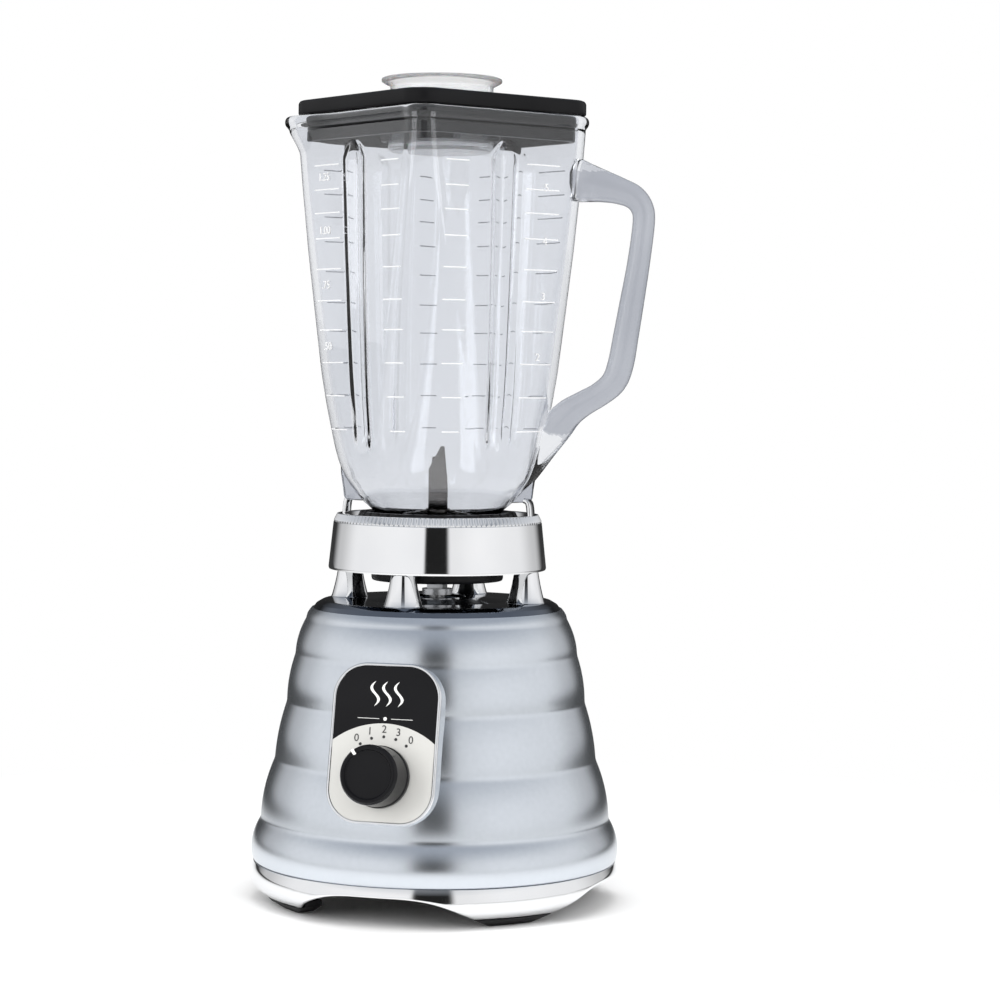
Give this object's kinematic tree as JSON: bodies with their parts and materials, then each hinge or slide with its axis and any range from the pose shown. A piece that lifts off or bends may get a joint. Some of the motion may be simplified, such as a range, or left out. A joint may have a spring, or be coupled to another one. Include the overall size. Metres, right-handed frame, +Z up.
{
  "type": "countertop blender",
  "caption": "Countertop blender with ribbed chrome base, scalloped skirt, collar ring on posts, rotary switch, square glass jar with handle and spout, black lid and filler cap.",
  "frame": {"origin": "on the base axis, on the surface that the rubber feet stand on", "axes": "+Z up along the motor and jar axis; the control plate faces -Y; the jar handle points toward +X, turned 10 degrees toward +Y"},
  "size_m": [0.199, 0.2019, 0.4135],
  "materials": {
    "satin_chrome": "satin chrome plated sheet",
    "mirror_chrome": "polished chrome plate",
    "dark_chrome": "polished dark chrome",
    "black_rubber": "matte rubber",
    "black_plastic": "moulded black plastic",
    "gloss_black": "gloss black",
    "grey_plastic": "satin warm grey",
    "silver_plastic": "satin silver",
    "white_mark": "printed white",
    "dark_mark": "printed black",
    "zinc_steel": "zinc plated steel",
    "stack_steel": "laminated electrical steel",
    "copper": "enamelled copper",
    "bronze": "sintered bronze",
    "brass": "brass",
    "laminate": "phenolic board",
    "carbon": "carbon",
    "wire": "red lead insulation",
    "blade_steel": "ground stainless steel",
    "glass": "clear pressed glass",
    "gasket": "soft seal",
    "cap_plastic": "translucent plastic",
    "lid_plastic": "black vinyl, satin"
  },
  "bodies": {
    "base": {"base_shell": "satin_chrome", "base_skirt": "mirror_chrome", "cover_lugs": "zinc_steel", "foot_pads": "black_rubber", "bottom_cover": "black_plastic", "bottom_screws": "zinc_steel", "top_deck": "dark_chrome", "collar_posts": "mirror_chrome", "collar_ring": "mirror_chrome", "jar_guides": "mirror_chrome", "post_screws": "zinc_steel", "control_bezel": "silver_plastic", "control_face_black": "gloss_black", "control_face_grey": "grey_plastic", "dial_marks": "dark_mark", "switch_body": "black_plastic", "switch_nut": "zinc_steel", "switch_terminals": "brass", "motor_stator": "stack_steel", "field_coils": "copper", "upper_bracket": "zinc_steel", "lower_bracket": "zinc_steel", "upper_bearing": "bronze", "lower_bearing": "bronze", "brush_plate": "laminate", "brush_holders": "brass", "carbon_brushes": "carbon", "motor_bolts": "zinc_steel", "motor_mounts": "black_rubber", "cord_inlet": "black_rubber", "lead_wires": "wire"},
    "knob": {"knob": "gloss_black", "knob_marker": "white_mark", "switch_shaft": "zinc_steel"},
    "rotor": {"motor_shaft": "zinc_steel", "rotor_core": "stack_steel", "rotor_windings": "copper", "commutator": "copper", "cooling_fan": "black_plastic", "drive_coupling": "zinc_steel", "shaft_slinger": "black_rubber"},
    "jar": {"glass_jar": "glass", "jar_gasket": "gasket", "bottom_cap": "black_plastic", "agitator_base": "blade_steel", "bearing_bush": "bronze"},
    "blade": {"blade_shaft": "blade_steel", "upper_blade": "blade_steel", "lower_blade": "blade_steel", "blade_spacer": "blade_steel", "blade_nut": "blade_steel", "drive_socket": "zinc_steel"},
    "lid": {"lid": "lid_plastic"},
    "filler_cap": {"filler_cap": "cap_plastic"}
  },
  "joints": [
    {"name": "knob_turn", "type": "hinge", "parent": "base", "child": "knob", "pos_m": [0, -0.08469, 0.07232], "axis": [0, 0.9799, -0.1994], "range_deg": [0, 74]},
    {"name": "motor_spin", "type": "hinge", "parent": "base", "child": "rotor", "pos_m": [0, 0, 0.1], "axis": [0, 0, 1], "continuous": true},
    {"name": "jar_lift", "type": "slide", "parent": "base", "child": "jar", "axis": [0, 0, 1], "range_m": [0, 0.06]},
    {"name": "blade_spin", "type": "hinge", "parent": "jar", "child": "blade", "pos_m": [0, 0, 0.2], "axis": [0, 0, 1], "continuous": true},
    {"name": "lid_lift", "type": "slide", "parent": "jar", "child": "lid", "axis": [0, 0, 1], "range_m": [0, 0.05]},
    {"name": "filler_cap_lift", "type": "slide", "parent": "lid", "child": "filler_cap", "axis": [0, 0, 1], "range_m": [0, 0.045]}
  ],
  "couplings": [
    {"joint": "blade_spin", "follows": "motor_spin", "ratio": 1}
  ]
}
